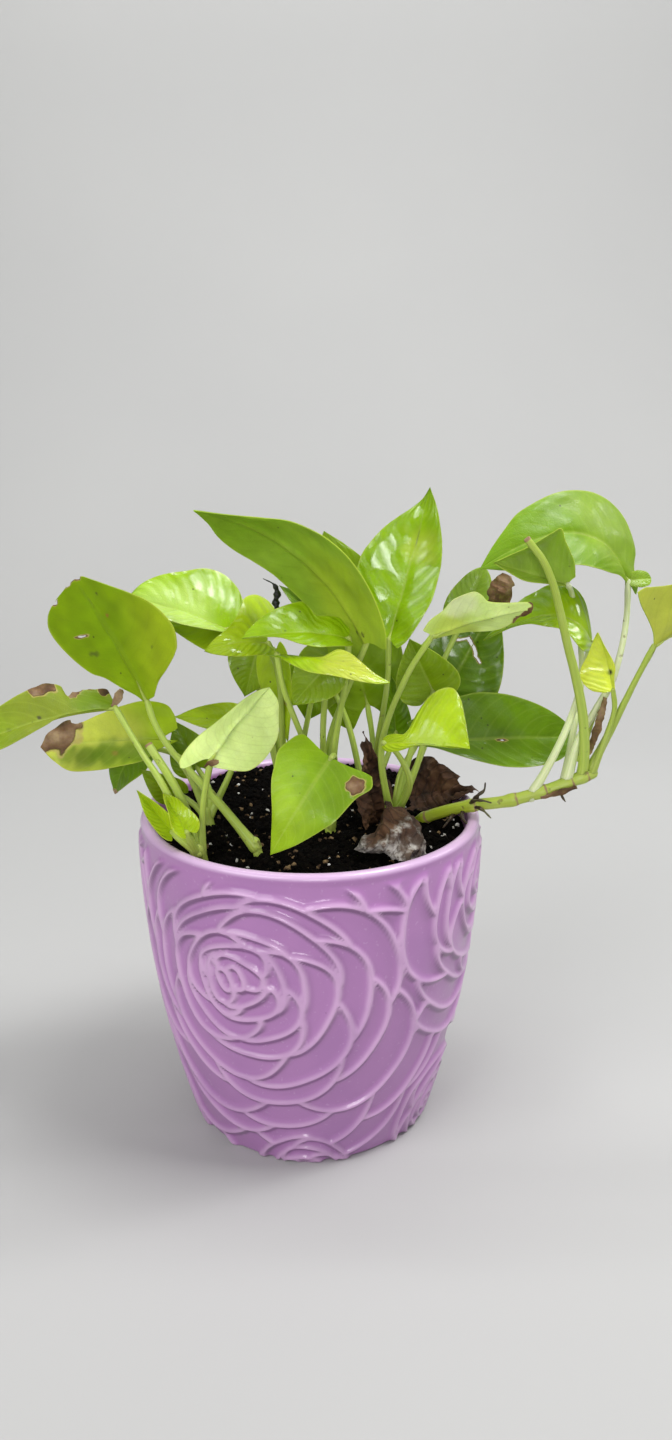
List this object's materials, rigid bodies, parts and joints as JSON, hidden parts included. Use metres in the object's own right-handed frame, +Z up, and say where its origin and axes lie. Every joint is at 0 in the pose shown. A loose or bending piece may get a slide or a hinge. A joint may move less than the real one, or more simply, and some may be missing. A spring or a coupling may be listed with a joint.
{
  "type": "potted pothos plant",
  "caption": "Neon pothos with heart-shaped leaves on long stalks and one trailing stem, rooted in potting mix in a tapered glazed pot with a raised rose-petal relief.",
  "frame": {"origin": "centre of the pot's flat base, on the surface that the pot stands on", "axes": "+Z up, -Y towards the viewer of the picture, +X to the viewer's right, where the trailing stem hangs over the rim"},
  "size_m": [0.2892, 0.1283, 0.241],
  "materials": {
    "glazed_ceramic": "lilac glazed ceramic, glossy",
    "potting_mix": "damp dark potting mix with white and tan grains",
    "live_leaf": "living leaf and stalk, glossy above and matt beneath",
    "withered_leaf": "dry brown leaf, dull"
  },
  "bodies": {
    "root": {"pot": "glazed_ceramic", "potting_mix": "potting_mix", "stem_trailing": "live_leaf", "stem_left_front": "live_leaf", "stem_left": "live_leaf", "stem_left_back": "live_leaf", "stem_centre_left": "live_leaf", "stem_centre_front": "live_leaf", "stem_centre_back": "live_leaf", "stem_right": "live_leaf", "withered_grey": "withered_leaf", "withered_brown": "withered_leaf", "withered_upright": "withered_leaf"}
  },
  "joints": []
}
